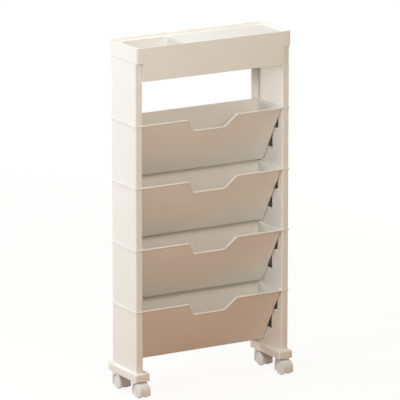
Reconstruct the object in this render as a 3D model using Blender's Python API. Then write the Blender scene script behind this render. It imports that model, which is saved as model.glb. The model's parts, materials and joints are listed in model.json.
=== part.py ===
"""A slim rolling book rack of moulded plastic: two stacked side columns, four
slanted pockets hung between them, a tray on top and four twin-wheel casters.

Metres, +Z up, +X to the right and +Y to the back. The origin is on the floor,
under the middle of the rack's box.
"""

from math import cos, hypot, pi, radians, sin

import bmesh
import bpy
from mathutils import Matrix, Vector

# Driving dimensions: the stack.
WIDTH = 0.420  # outer face to outer face of the side columns
DEPTH = 0.116  # front to back of a column
PITCH = 0.150  # seam to seam
SEAMS = 5  # modules in a column; a pocket hangs at every seam but the top one
CASTER_HEIGHT = 0.040  # floor to the underside of a foot
FOOT_HEIGHT = 0.019
GAP = 0.0003  # left between pieces that touch

# A column module: a flat sleeve with a lip along its rear edge.
COLUMN = 0.018  # thickness across the rack
WALL = 0.0025
REAR_LIP = 0.018
COLUMN_RADIUS = 0.003
COLUMN_INNER_RADIUS = 0.0026  # front corner next to a pocket
LIP_EDGE = 0.001
HOLLOW_RADIUS = 0.0012

# The stepped window in a module's inner wall follows the pocket's slope.
STEP_DEPTHS = (0.020, 0.046)
STEP_DROPS = (0.055, 0.105)
WINDOW_TOP = 0.014
WINDOW_BACK = 0.1075
PEG_DEPTH = 0.0095  # the rest peg under the pocket's front wall
PEG_HEIGHT = 0.0055
PEG_REACH = 0.0045
PEG_RADIUS = 0.002
PEG_ROOT = 0.001  # how far the peg starts in front of the window's edge

# A pocket.
RIM = 0.004  # thickness of the rim plate between two modules
RIM_PROUD = 0.002
RIM_EDGE = 0.0008
POCKET_HALF = 0.1905
POCKET_DROP = 0.1415
SLOPE_RUN = 0.085  # how far the front wall leans back on its way down
POCKET_BACK = 0.1125
POCKET_WALL = 0.0024
FRONT_ROUND = 0.006  # outside, along the foot of the front wall
BACK_ROUND = 0.004
INNER_FRONT_ROUND = 0.004
INNER_BACK_ROUND = 0.002
MOUTH_RADIUS = 0.008
RIM_FRONT_BAND = 0.0035
NOTCH_TOP = 0.130
NOTCH_BOTTOM = 0.0855
NOTCH_DEPTH = 0.0365
NOTCH_RADIUS = 0.004
BEAD = 0.0045
BEAD_PROUD = 0.0012
CUT_REACH = 0.020  # how far the notch's cutter runs past the wall

# The tenons that plug the modules together.
TENON_FIT = 0.0005
TENON_DEPTH = 0.016
TENON_DOWN = 0.045
TENON_UP = 0.012

# The tray.
TRAY_HEIGHT = 0.038  # the part that sits on the columns
APRON = 0.043  # the part that drops between them
TRAY_PROUD = 0.0065
TRAY_WALL = 0.003
TRAY_RADIUS = 0.006
TRAY_EDGE = 0.0012
WELL_RADIUS = 0.005
PLATFORM_DROP = 0.006
DIVIDER_X = -0.0645  # middle of the wall between the deep well and the platform

# The feet and casters.
FOOT_DEPTH = 0.138
FOOT_OUT = 0.0073
FOOT_IN = 0.0134
FOOT_CHAMFER = 0.003
FOOT_RADIUS = 0.005
STEM_INSET = 0.0215  # foot end to stem axis
TRAIL = 0.013  # stem axis to axle; at rest the wheels trail to the front
WHEEL_RADIUS = 0.017
WHEEL_WIDTH = 0.0085
WHEEL_EDGE = 0.001
TWIN_WIDTH = 0.0285
TREAD_ROUND = 0.0022  # the tread's outer edge
HUB_RADIUS = 0.0055
RIM_BAND = 0.0038  # tread to the dish in the wheel's face
DISH = 0.0007
HUB_CAP = 0.0013  # what closes the wheel's bore outside
HOOD_RADIUS = 0.020
HOOD_HALF = 0.0145
HOOD_EDGE = 0.0015
HOOD_CORNER = 0.006
WEB_HALF = 0.00525
WHEEL_ROOM = 0.0012
HOOD_REAR = 0.022
HOOD_LOW = 0.010  # axle down to the hood's lower edge
HOOD_STEPS = 8
STEM_RADIUS = 0.003
STEM_RISE = 0.006  # lower end of a stem above the axle
AXLE_RADIUS = 0.002
BOSS_RADIUS = 0.0075
BOSS_RECESS = 0.0005
HOOD_BELOW = 0.0012  # a foot's underside to the hood's boss
COLLAR_RADIUS = 0.0055
COLLAR_LOW = 0.0008  # a foot's underside to the collar's two faces
COLLAR_HIGH = 0.0001
ROUND_STEPS = 24
SHARP_ANGLE = radians(35)

# Derived places.
HALF = WIDTH / 2
CASTER_REACH = TRAIL - STEM_INSET + HOOD_RADIUS  # hood in front of the foot
MID_Y = CASTER_REACH / 2
FRONT_Y = MID_Y - DEPTH / 2
FOOT_TOP = CASTER_HEIGHT + FOOT_HEIGHT
FOOT_X = HALF + (FOOT_OUT - COLUMN - FOOT_IN) / 2
FOOT_HALF = (FOOT_OUT + COLUMN + FOOT_IN) / 2
SLOPE_TAN = SLOPE_RUN / POCKET_DROP


def seam_z(number):
    """Height of a seam, counted from the top of the feet."""
    return FOOT_TOP + number * PITCH


def clear_scene():
    for item in list(bpy.data.objects):
        bpy.data.objects.remove(item)


def plain_material(name, colour, roughness, metallic=0.0):
    material = bpy.data.materials.new(name)
    material.use_nodes = True
    shader = material.node_tree.nodes["Principled BSDF"]
    shader.inputs["Base Color"].default_value = (*colour, 1.0)
    shader.inputs["Roughness"].default_value = roughness
    shader.inputs["Metallic"].default_value = metallic
    material.diffuse_color = (*colour, 1.0)
    return material


def mesh_of(build):
    """A mesh from a bmesh, with its faces turned outwards."""
    bmesh.ops.recalc_face_normals(build, faces=build.faces)
    mesh = bpy.data.meshes.new("shape")
    build.to_mesh(mesh)
    build.free()
    return mesh


def loft(loops):
    """A closed solid through loops of equal length, flat at both ends."""
    build = bmesh.new()
    rings = [[build.verts.new(point) for point in loop] for loop in loops]
    for low, high in zip(rings, rings[1:]):
        for i in range(len(low)):
            j = (i + 1) % len(low)
            build.faces.new((low[i], low[j], high[j], high[i]))
    build.faces.new(rings[0])
    build.faces.new(rings[-1])
    return mesh_of(build)


def along_x(outline, x0, x1):
    return loft([[(x, y, z) for y, z in outline] for x in (x0, x1)])


def along_z(outline, z0, z1):
    return loft([[(x, y, z) for x, y in outline] for z in (z0, z1)])


def block(low, high):
    outline = [(low[0], low[1]), (high[0], low[1]), (high[0], high[1]), (low[0], high[1])]
    return along_z(outline, low[2], high[2])


def rounded(corners, steps=4):
    """An outline with each (x, y, radius) corner turned into an arc."""
    outline = []
    for i, (x, y, radius) in enumerate(corners):
        here = Vector((x, y))
        before = (Vector(corners[i - 1][:2]) - here).normalized()
        after = (Vector(corners[(i + 1) % len(corners)][:2]) - here).normalized()
        if radius == 0:
            outline.append((x, y))
            continue
        half_angle = before.angle(after) / 2
        middle = here + (before + after).normalized() * radius / sin(half_angle)
        reach = radius * cos(half_angle) / sin(half_angle)
        start = here + before * reach - middle
        turn = start.angle_signed(here + after * reach - middle)
        for step in range(steps + 1):
            spoke = start.copy()
            spoke.rotate(Matrix.Rotation(-turn * step / steps, 2))
            outline.append(tuple(middle + spoke))
    return outline


def rounded_box(x0, x1, y0, y1, radius, steps=4):
    corners = [(x0, y0, radius), (x1, y0, radius), (x1, y1, radius), (x0, y1, radius)]
    return rounded(corners, steps)


def turned(profile, axis):
    """A solid of revolution from (along, radius) points that start and end on the axis."""
    build = bmesh.new()
    across = "Y" if axis == "Z" else "Z"
    points = []
    for along, radius in profile:
        point = Vector()
        setattr(point, axis.lower(), along)
        setattr(point, across.lower(), radius)
        points.append(build.verts.new(point))
    edges = [build.edges.new(pair) for pair in zip(points, points[1:])]
    bmesh.ops.spin(
        build,
        geom=points + edges,
        cent=(0, 0, 0),
        axis=Vector((axis == "X", 0, axis == "Z")),
        angle=2 * pi,
        steps=ROUND_STEPS,
        use_merge=True,
    )
    bmesh.ops.remove_doubles(build, verts=build.verts, dist=1e-6)
    poles = [v for v in build.verts if hypot(v.co.y, v.co.z if axis == "X" else v.co.x) < 1e-6]
    bmesh.ops.dissolve_verts(build, verts=poles)
    return mesh_of(build)


def rod(axis, start, end, radius):
    return turned([(start, 0), (start, radius), (end, radius), (end, 0)], axis)


def moved(mesh, x=0.0, y=0.0, z=0.0):
    mesh.transform(Matrix.Translation((x, y, z)))
    return mesh


def shaped(base, *changes):
    """The base mesh after each (operation, mesh) change, as one new mesh."""
    target = bpy.data.objects.new("target", base)
    bpy.context.scene.collection.objects.link(target)
    tools = []
    for operation, mesh in changes:
        tool = bpy.data.objects.new("tool", mesh)
        bpy.context.scene.collection.objects.link(tool)
        tools.append(tool)
        change = target.modifiers.new(operation, "BOOLEAN")
        change.operation = operation
        change.object = tool
        change.solver = "EXACT"
    bpy.context.view_layer.update()
    result = bpy.data.meshes.new_from_object(
        target.evaluated_get(bpy.context.evaluated_depsgraph_get())
    )
    for item in (*tools, target):
        bpy.data.objects.remove(item)
    return result


def placed(name, mesh, material, location=(0, 0, 0), parent=None, smooth=False):
    mesh.materials.clear()
    mesh.materials.append(material)
    if smooth:
        mesh.shade_smooth()
        mesh.set_sharp_from_angle(angle=SHARP_ANGLE)
    item = bpy.data.objects.new(name, mesh)
    bpy.context.scene.collection.objects.link(item)
    item.location = location
    item.parent = parent
    return item


def mirrored(outline, side):
    return [(side * x, y) for x, y in outline]


def tenons(side, low, high):
    """The front and rear tenon that plug into a column, as two blocks."""
    inner = HALF - COLUMN + WALL + TENON_FIT
    outer = HALF - WALL - TENON_FIT
    front = FRONT_Y + WALL + TENON_FIT
    rear = FRONT_Y + DEPTH - WALL - TENON_FIT
    x0, x1 = sorted((side * inner, side * outer))
    return [
        block((x0, front, low), (x1, front + TENON_DEPTH, high)),
        block((x0, rear - TENON_DEPTH, low), (x1, rear, high)),
    ]


def column_module(side, windowed):
    """One sleeve, with its upper seam at z = 0; the closed one carries the tray."""
    top = -RIM / 2 - GAP if windowed else -GAP
    bottom = RIM / 2 + GAP - PITCH
    inner = HALF - COLUMN
    back = FRONT_Y + DEPTH
    lip = inner - REAR_LIP
    outline = rounded(
        [
            (inner, FRONT_Y, COLUMN_INNER_RADIUS),
            (HALF, FRONT_Y, COLUMN_RADIUS),
            (HALF, back, COLUMN_RADIUS),
            (lip, back, LIP_EDGE),
            (lip, back - WALL, LIP_EDGE),
            (inner, back - WALL, 0),
        ],
        3,
    )
    hollow = rounded_box(
        inner + WALL, HALF - WALL, FRONT_Y + WALL, back - WALL, HOLLOW_RADIUS, 2
    )
    changes = [("DIFFERENCE", along_z(mirrored(hollow, side), -2 * PITCH, PITCH))]
    if windowed:
        stairs = [(WINDOW_BACK, -WINDOW_TOP), (STEP_DEPTHS[0], -WINDOW_TOP)]
        for number, (depth, drop) in enumerate(zip(STEP_DEPTHS, STEP_DROPS)):
            if number:
                stairs.append((depth, -STEP_DROPS[number - 1]))
            stairs.append((depth, -drop))
        stairs.append((WINDOW_BACK, -STEP_DROPS[-1]))
        stairs = [(FRONT_Y + y, z) for y, z in stairs]
        x0, x1 = sorted((side * (inner - WALL), side * (inner + 2 * WALL)))
        changes.append(("DIFFERENCE", along_x(stairs, x0, x1)))
        peg_low = -STEP_DROPS[0] - PEG_HEIGHT / 2
        peg_high = peg_low + PEG_HEIGHT
        peg_front = FRONT_Y + STEP_DEPTHS[0] - PEG_ROOT
        peg_back = peg_front + PEG_DEPTH
        peg = rounded_box(peg_front, peg_back, peg_low, peg_high, PEG_RADIUS, 3)
        x0, x1 = sorted((side * (inner - PEG_REACH), side * (inner + WALL - GAP)))
        changes.append(("UNION", along_x(peg, x0, x1)))
    return shaped(along_z(mirrored(outline, side), bottom, top), *changes)


def on_slope(across, down, out):
    """A point of the pocket's front wall: out is square to the wall."""
    lean = hypot(1, SLOPE_TAN)
    y = FRONT_Y + (down * SLOPE_TAN - out) / lean
    z = (-down - out * SLOPE_TAN) / lean
    return (across, y, z)


def notch_solid(grow, over, out_low, out_high):
    """A trapezoid plug across the front wall, grown by grow and reaching over the rim."""
    lean = (NOTCH_TOP - NOTCH_BOTTOM) / 2 / NOTCH_DEPTH
    low = NOTCH_DEPTH + grow
    half_low = NOTCH_BOTTOM / 2 + grow * (hypot(1, lean) - lean)
    half_high = half_low + (low + over) * lean
    outline = rounded(
        [
            (-half_high, -over, 0),
            (-half_low, low, NOTCH_RADIUS + grow),
            (half_low, low, NOTCH_RADIUS + grow),
            (half_high, -over, 0),
        ],
        5,
    )
    return loft([[on_slope(x, v, out) for x, v in outline] for out in (out_low, out_high)])


def pocket_mesh():
    """A slanted pocket with its rim plate, notch and tenons; the rim's middle is at z = 0."""
    back = FRONT_Y + POCKET_BACK
    lean_wall = POCKET_WALL * hypot(1, SLOPE_TAN)
    outer = rounded(
        [
            (FRONT_Y, 0, 0),
            (FRONT_Y + SLOPE_RUN, -POCKET_DROP, FRONT_ROUND),
            (back, -POCKET_DROP, BACK_ROUND),
            (back, 0, 0),
        ]
    )
    floor = POCKET_WALL - POCKET_DROP
    slope_foot = FRONT_Y - floor * SLOPE_TAN + lean_wall
    inner = rounded(
        [
            (FRONT_Y + lean_wall + RIM / 2 * SLOPE_TAN, -RIM / 2, 0),
            (slope_foot, floor, INNER_FRONT_ROUND),
            (back - POCKET_WALL, floor, INNER_BACK_ROUND),
            (back - POCKET_WALL, -RIM / 2, 0),
        ]
    )

    def plate(proud):
        return rounded_box(
            -HALF - proud,
            HALF + proud,
            FRONT_Y - proud,
            FRONT_Y + DEPTH + proud,
            COLUMN_RADIUS + proud,
        )

    levels = (
        (RIM_PROUD - RIM_EDGE, -RIM / 2),
        (RIM_PROUD, RIM_EDGE - RIM / 2),
        (RIM_PROUD, RIM / 2 - RIM_EDGE),
        (RIM_PROUD - RIM_EDGE, RIM / 2),
    )
    rim = loft([[(x, y, z) for x, y in plate(proud)] for proud, z in levels])
    end = POCKET_HALF - POCKET_WALL
    mouth = rounded_box(
        -end, end, FRONT_Y + RIM_FRONT_BAND, back - POCKET_WALL, MOUTH_RADIUS
    )
    changes = [
        ("UNION", rim),
        ("UNION", notch_solid(BEAD, RIM / 4, -POCKET_WALL / 2, BEAD_PROUD)),
        ("DIFFERENCE", along_x(inner, -end, end)),
        ("DIFFERENCE", along_z(mouth, -RIM / 2 - RIM_EDGE, PITCH / 4)),
        ("DIFFERENCE", notch_solid(0, 3 * RIM, -CUT_REACH, CUT_REACH)),
    ]
    for side in (-1, 1):
        for tenon in tenons(side, -TENON_DOWN, TENON_UP):
            changes.append(("UNION", tenon))
    return shaped(along_x(outer, -POCKET_HALF, POCKET_HALF), *changes)


def tray_mesh():
    """The top tray, with the columns' top seam at z = 0."""
    front = FRONT_Y - TRAY_PROUD
    back = FRONT_Y + DEPTH + TRAY_PROUD
    apron_back = FRONT_Y + POCKET_BACK
    side = HALF + TENON_FIT
    tub = HALF - COLUMN - GAP
    under = TRAY_HEIGHT - PLATFORM_DROP - TRAY_WALL

    def deck(inset):
        return rounded_box(
            -side + inset, side - inset, front + inset, back - inset, TRAY_RADIUS - inset
        )

    levels = ((0, -APRON), (0, TRAY_HEIGHT - TRAY_EDGE), (TRAY_EDGE, TRAY_HEIGHT))
    body = loft([[(x, y, z) for x, y in deck(inset)] for inset, z in levels])
    recess = along_z(deck(TRAY_WALL), TRAY_HEIGHT - PLATFORM_DROP, 2 * TRAY_HEIGHT)
    inside_front = front + TRAY_WALL
    inside_back = apron_back - TRAY_WALL
    inside = tub - TRAY_WALL
    well_end = DIVIDER_X - TRAY_WALL / 2
    well_outline = rounded_box(-inside, well_end, inside_front, inside_back, WELL_RADIUS)
    well = along_z(well_outline, TRAY_WALL - APRON, 2 * TRAY_HEIGHT)
    below = -2 * APRON
    hollow = block((well_end + TRAY_WALL, inside_front, below), (inside, inside_back, under))
    rear_groove = block((-inside, apron_back, below), (inside, back - TRAY_WALL, under))
    behind = block((-2 * HALF, apron_back, below), (2 * HALF, 2 * back, 0))
    changes = [("DIFFERENCE", recess), ("DIFFERENCE", well), ("DIFFERENCE", hollow)]
    changes += [("DIFFERENCE", behind), ("DIFFERENCE", rear_groove)]
    for sign in (-1, 1):
        x0, x1 = sorted((sign * tub, sign * 2 * HALF))
        beside = block((x0, 2 * front, below), (x1, 2 * back, 0))
        changes.append(("DIFFERENCE", beside))
        x0, x1 = sorted((sign * (HALF - COLUMN + WALL), sign * (HALF - WALL)))
        ear = block((x0, inside_front, below), (x1, back - TRAY_WALL, under))
        changes.append(("DIFFERENCE", ear))
        for tenon in tenons(sign, -TENON_DOWN, under + TRAY_WALL / 2):
            changes.append(("UNION", tenon))
    return shaped(body, *changes)


def stem_places(side):
    """The two stem axes of a foot, front and rear."""
    front = MID_Y - FOOT_DEPTH / 2 + STEM_INSET
    rear = MID_Y + FOOT_DEPTH / 2 - STEM_INSET
    return {"front": (side * FOOT_X, front), "rear": (side * FOOT_X, rear)}


def foot_mesh(side):
    """A base foot: a shell with a boss for each stem, a seat and tenons for the column."""
    x0, x1 = side * FOOT_X - FOOT_HALF, side * FOOT_X + FOOT_HALF
    y0, y1 = MID_Y - FOOT_DEPTH / 2, MID_Y + FOOT_DEPTH / 2

    def outline(inset):
        return rounded_box(x0 + inset, x1 - inset, y0 + inset, y1 - inset, FOOT_RADIUS - inset)

    levels = ((0, CASTER_HEIGHT), (0, FOOT_TOP - FOOT_CHAMFER), (FOOT_CHAMFER, FOOT_TOP))
    body = loft([[(x, y, z) for x, y in outline(inset)] for inset, z in levels])
    plate = FOOT_TOP - TRAY_WALL
    hollow = along_z(outline(TRAY_WALL), CASTER_HEIGHT - FOOT_HEIGHT, plate)
    changes = [("DIFFERENCE", hollow)]
    for x, y in stem_places(side).values():
        boss = rod("Z", CASTER_HEIGHT + BOSS_RECESS, plate + TRAY_WALL / 2, BOSS_RADIUS)
        bore = rod("Z", CASTER_HEIGHT / 2, plate + TRAY_WALL / 3, STEM_RADIUS + GAP)
        changes.append(("UNION", moved(boss, x, y)))
        changes.append(("DIFFERENCE", moved(bore, x, y)))
    seat = rounded_box(
        HALF - COLUMN, HALF, FRONT_Y, FRONT_Y + DEPTH, COLUMN_INNER_RADIUS, 3
    )
    root = FOOT_TOP - TRAY_WALL / 4
    changes.append(("UNION", along_z(mirrored(seat, side), root, FOOT_TOP + RIM / 2)))
    for tenon in tenons(side, root, FOOT_TOP + TENON_DOWN):
        changes.append(("UNION", tenon))
    return shaped(body, *changes)


def hood_mesh():
    """A caster's hood about its axle: fender, middle web, rear wall and stem boss."""

    def outline(inset):
        radius = HOOD_RADIUS - inset
        points = []
        for step in range(HOOD_STEPS + 1):
            angle = pi - pi / 2 * step / HOOD_STEPS
            points.append((radius * cos(angle), radius * sin(angle)))
        for step in range(HOOD_STEPS + 1):
            angle = pi / 2 - pi / 2 * step / HOOD_STEPS
            y = HOOD_REAR - HOOD_CORNER + (HOOD_CORNER - inset) * cos(angle)
            z = HOOD_RADIUS - HOOD_CORNER + (HOOD_CORNER - inset) * sin(angle)
            points.append((y, z))
        points.append((HOOD_REAR - inset, inset - HOOD_LOW))
        points.append((inset - HOOD_RADIUS, inset - HOOD_LOW))
        return points

    levels = (
        (HOOD_EDGE, -HOOD_HALF),
        (0, HOOD_EDGE - HOOD_HALF),
        (0, HOOD_HALF - HOOD_EDGE),
        (HOOD_EDGE, HOOD_HALF),
    )
    body = loft([[(x, y, z) for y, z in outline(inset)] for inset, x in levels])
    room = WHEEL_RADIUS + WHEEL_ROOM
    top = CASTER_HEIGHT - HOOD_BELOW - WHEEL_RADIUS
    boss = moved(rod("Z", HOOD_RADIUS - HOOD_CORNER, top, BOSS_RADIUS), y=TRAIL)
    bore_low = STEM_RISE - WHEEL_EDGE
    bore = moved(rod("Z", bore_low, 2 * HOOD_RADIUS, STEM_RADIUS + GAP), y=TRAIL)
    return shaped(
        body,
        ("DIFFERENCE", rod("X", WEB_HALF, 2 * HOOD_HALF, room)),
        ("DIFFERENCE", rod("X", -2 * HOOD_HALF, -WEB_HALF, room)),
        ("UNION", boss),
        ("DIFFERENCE", bore),
        ("DIFFERENCE", rod("X", -HOOD_HALF, HOOD_HALF, AXLE_RADIUS + GAP)),
    )


def stem_mesh():
    """A fixed kingpin with a thrust collar, from the hood's bore up into the foot."""
    collar_low = CASTER_HEIGHT - COLLAR_LOW
    collar_high = CASTER_HEIGHT - COLLAR_HIGH
    profile = [
        (WHEEL_RADIUS + STEM_RISE, 0),
        (WHEEL_RADIUS + STEM_RISE, STEM_RADIUS),
        (collar_low, STEM_RADIUS),
        (collar_low, COLLAR_RADIUS),
        (collar_high, COLLAR_RADIUS),
        (collar_high, STEM_RADIUS),
        (FOOT_TOP - TRAY_WALL, STEM_RADIUS),
        (FOOT_TOP - TRAY_WALL, 0),
    ]
    return turned(profile, "Z")


def wheel_mesh(side):
    """A wheel about its axle, with a blind bore and a dished outer face."""
    outer = TWIN_WIDTH / 2
    inner = outer - WHEEL_WIDTH
    bore = AXLE_RADIUS + GAP
    slant = TREAD_ROUND * (1 - cos(pi / 4))
    profile = [
        (outer - HUB_CAP, 0),
        (outer - HUB_CAP, bore),
        (inner, bore),
        (inner, WHEEL_RADIUS - WHEEL_EDGE),
        (inner + WHEEL_EDGE, WHEEL_RADIUS),
        (outer - TREAD_ROUND, WHEEL_RADIUS),
        (outer - slant, WHEEL_RADIUS - slant),
        (outer, WHEEL_RADIUS - TREAD_ROUND),
        (outer, WHEEL_RADIUS - RIM_BAND),
        (outer - DISH, WHEEL_RADIUS - RIM_BAND - DISH),
        (outer - DISH, HUB_RADIUS),
        (outer, HUB_RADIUS - DISH),
        (outer, 0),
    ]
    return turned([(side * along, radius) for along, radius in profile], "X")


def add_casters(white, steel):
    """Each caster turns about its stem, and each wheel about the axle."""
    hood = hood_mesh()
    stem = stem_mesh()
    axle_half = TWIN_WIDTH / 2 - HUB_CAP - GAP
    axle = rod("X", -axle_half, axle_half, AXLE_RADIUS)
    wheels = {side: wheel_mesh(side) for side in (-1, 1)}
    for side, side_name in ((-1, "left"), (1, "right")):
        for end_name, (x, y) in stem_places(side).items():
            name = f"{end_name}_{side_name}"
            placed(f"caster_stem_{name}", stem, steel, (x, y, 0), smooth=True)
            swivel = bpy.data.objects.new(f"swivel_{name}", None)
            swivel.empty_display_size = HOOD_RADIUS
            swivel.location = (x, y, 0)
            bpy.context.scene.collection.objects.link(swivel)
            centre = (0, -TRAIL, WHEEL_RADIUS)
            placed(f"caster_hood_{name}", hood, white, centre, swivel, smooth=True)
            placed(f"caster_axle_{name}", axle, steel, centre, swivel, smooth=True)
            for turn, turn_name in ((-1, "a"), (1, "b")):
                wheel_name = f"caster_wheel_{turn_name}_{name}"
                placed(wheel_name, wheels[turn], white, centre, swivel, smooth=True)


def main():
    clear_scene()
    cream = plain_material("cream_plastic", (0.80, 0.74, 0.65), 0.45)
    white = plain_material("caster_plastic", (0.78, 0.76, 0.73), 0.35)
    steel = plain_material("zinc_steel", (0.56, 0.57, 0.58), 0.35, 1.0)
    for side, name in ((-1, "left"), (1, "right")):
        placed(f"foot_{name}", foot_mesh(side), cream)
        windowed = column_module(side, True)
        closed = column_module(side, False)
        for number in range(1, SEAMS + 1):
            module = windowed if number < SEAMS else closed
            place = (0, 0, seam_z(number))
            placed(f"side_panel_{name}_{number}", module, cream, place)
    pocket = pocket_mesh()
    for number in range(1, SEAMS):
        placed(f"pocket_{number}", pocket, cream, (0, 0, seam_z(number)))
    placed("top_tray", tray_mesh(), cream, (0, 0, seam_z(SEAMS)))
    add_casters(white, steel)


main()
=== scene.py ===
"""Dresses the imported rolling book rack: moulded plastic pieces with rounded edges,
casters, their finishes and a plain studio with the camera of the photograph."""

import json
from contextlib import contextmanager
from math import cos, hypot, pi, radians, sin

import bmesh
import bpy
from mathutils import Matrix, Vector

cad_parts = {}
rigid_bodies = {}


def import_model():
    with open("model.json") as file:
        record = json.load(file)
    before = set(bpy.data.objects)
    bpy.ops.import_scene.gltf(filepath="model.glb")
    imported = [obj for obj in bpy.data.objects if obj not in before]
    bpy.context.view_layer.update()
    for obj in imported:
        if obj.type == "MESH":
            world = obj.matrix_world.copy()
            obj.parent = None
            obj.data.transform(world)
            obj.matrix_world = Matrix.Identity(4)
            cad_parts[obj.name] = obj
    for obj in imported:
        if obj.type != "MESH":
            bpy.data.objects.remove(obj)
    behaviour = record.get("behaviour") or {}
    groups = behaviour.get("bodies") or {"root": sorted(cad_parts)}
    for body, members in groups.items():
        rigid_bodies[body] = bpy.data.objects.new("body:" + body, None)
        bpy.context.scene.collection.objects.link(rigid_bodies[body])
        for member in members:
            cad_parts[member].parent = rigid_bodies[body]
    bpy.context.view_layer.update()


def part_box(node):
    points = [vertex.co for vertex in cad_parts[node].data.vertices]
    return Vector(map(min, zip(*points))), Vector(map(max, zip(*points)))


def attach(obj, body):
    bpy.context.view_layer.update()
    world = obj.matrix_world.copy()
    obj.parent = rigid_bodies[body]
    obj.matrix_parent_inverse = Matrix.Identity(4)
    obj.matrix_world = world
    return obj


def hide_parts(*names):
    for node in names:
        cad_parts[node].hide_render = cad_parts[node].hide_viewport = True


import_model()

bl_info = {
    "name": "Rolling Book Rack",
    "version": (1, 0, 0),
    "blender": (4, 5, 0),
    "location": "View3D > Sidebar > Book Rack",
    "description": "Models the mouldings, casters and finishes of a slim rolling book rack",
    "category": "Object",
}

SIDES = {"left": -1, "right": 1}
ENDS = ("front", "rear")
WINDOWED = 4
MODULES = 5
SEAM_GAP = 0.0003
UP = Vector((0, 0, 1))

# Angles: edges to round, faces to shade as one, faces to merge.
SHARP = radians(40)
SMOOTH = radians(38)
FLAT = radians(0.3)

# Share of a direction along an axis that makes an edge or a face count as aligned with it.
ALONG = 0.99
FACING = 0.9

# Tolerance, weld distance, overlap of joined blocks and overreach of cutters.
TINY = 1e-5
WELD = 5e-5
LAP = 0.001
CLEAR = 0.02

LOW_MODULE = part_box("side_panel_right_1")
NEXT_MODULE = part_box("side_panel_right_2")
TOP_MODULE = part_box("side_panel_right_5")
PITCH = NEXT_MODULE[0].z - LOW_MODULE[0].z
HALF = LOW_MODULE[1].x
FRONT = LOW_MODULE[0].y
BACK = LOW_MODULE[1].y
FIRST_SEAM = (LOW_MODULE[1].z + NEXT_MODULE[0].z) / 2
RIM = NEXT_MODULE[0].z - LOW_MODULE[1].z - 2 * SEAM_GAP
TRAY_LOW, TRAY_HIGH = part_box("top_tray")
POCKET_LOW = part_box("pocket_1")[0]

# Insets of a wheel's outer face and back, as (width, way out).
FACE_RINGS = ((0.0034, 0.0), (0.0007, -0.0007), (0.0016, 0.0), (0.0007, 0.0006), (0.0045, 0.0001))
BACK_RINGS = ((0.0024, 0.0), (0.0008, -0.0012), (0.0080, 0.0), (0.0008, 0.0012))

# Place, size and tint of each lamp. Its power is a setting.
LAMPS = {
    "key": ((-2.9, -0.6, 1.3), 1.5, (0.68, 0.86, 1.0)),
    "top": ((-0.4, 0.0, 2.2), 1.2, (0.90, 0.95, 1.0)),
    "fill": ((-0.6, -2.1, 1.7), 1.0, (1.0, 0.90, 0.79)),
    "rear": ((2.2, 2.0, 0.42), 0.9, (1.0, 0.96, 0.91)),
    "side": ((-1.9, 1.5, 0.8), 0.8, (1.0, 0.985, 0.96)),
}
LAMP_AIM = Vector((0, 0, 0.45))

# Distances from the rack over which the floor's painted shade fades into its far colour, and over which
# its white changes.
BOUNCE_SHADE_BAND = (0.3, 1.4)
WHITE_BAND = (0.6, 2.5)


def length(label, words, default):
    return bpy.props.FloatProperty(
        name=label, description=words, default=default, precision=5, unit="LENGTH"
    )


def angle(label, words, degrees):
    return bpy.props.FloatProperty(
        name=label, description=words, default=radians(degrees), unit="ROTATION"
    )


def share(label, words, default):
    return bpy.props.FloatProperty(
        name=label, description=words, default=default, min=0, subtype="FACTOR"
    )


def colour(label, words, default):
    return bpy.props.FloatVectorProperty(
        name=label, description=words, default=default, subtype="COLOR", min=0, max=1
    )


class ColumnSizes(bpy.types.PropertyGroup):
    thickness: length("Thickness", "Column, across the rack", 0.018)
    wall: length("Wall", "Wall of the sleeve", 0.0025)
    outer_round: length("Outer corner", "Radius of the outer vertical corners", 0.003)
    inner_round: length("Inner corner", "Radius of the corner next to a pocket", 0.0026)
    window_top: length("Window top", "Seam to the top of the window", 0.014)
    window_back: length("Window back", "Column front to the window's back edge", 0.1075)
    window_round: length("Window corner", "Radius of the window's corners", 0.0018)
    step_depth: length("Step depth", "Column front to the window's upper step", 0.020)
    step_drop: length("Step drop", "Seam to the window's step", 0.055)
    low_depth: length("Lower depth", "Column front to the window's lower part", 0.046)
    low_drop: length("Lower drop", "Seam to the bottom of the window", 0.105)
    peg_root: length("Peg root", "How far the peg starts in front of the window", 0.0018)
    peg_depth: length("Peg depth", "Rest peg, front to back", 0.0095)
    peg_height: length("Peg height", "Rest peg, bottom to top", 0.0055)
    peg_reach: length("Peg reach", "How far the peg stands out of the wall", 0.0045)
    edge: length("Edge", "Radius of all small edges", 0.0005)


class PocketSizes(bpy.types.PropertyGroup):
    half: length("Half width", "Middle to the outside of an end wall", 0.1905)
    back: length("Depth", "Column front to the outside of the back wall", 0.1125)
    slope: length("Slope", "How far the front wall leans back on its way down", 0.085)
    wall: length("Wall", "Wall of the tub", 0.0024)
    outer_round: length("Outside corner", "Radius of the tub's outer edges", 0.003)
    inner_round: length("Inside corner", "Radius of the tub's inner edges", 0.007)
    rim_proud: length("Rim", "How far the rim stands out of the columns", 0.002)
    rim_corner: length("Rim corner", "Radius of the rim's upright corners", 0.005)
    rim_round: length("Rim edge", "Radius of the rim's outer edge", 0.0011)
    notch_top: length("Notch top", "Width of the notch at the rim", 0.130)
    notch_low: length("Notch bottom", "Width of the notch at its lower edge", 0.0855)
    notch_depth: length("Notch depth", "Rim to the notch's lower edge", 0.0365)
    notch_round: length("Notch corner", "Radius of the notch's lower corners", 0.004)
    chamfer: length("Chamfer", "Slant of the notch's outer edge", 0.0018)
    bead: length("Bead", "Width of the bead round the notch", 0.0045)
    bead_proud: length("Bead height", "How far the bead stands out of the wall", 0.0012)
    edge: length("Edge", "Radius of all small edges", 0.0005)


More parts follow.
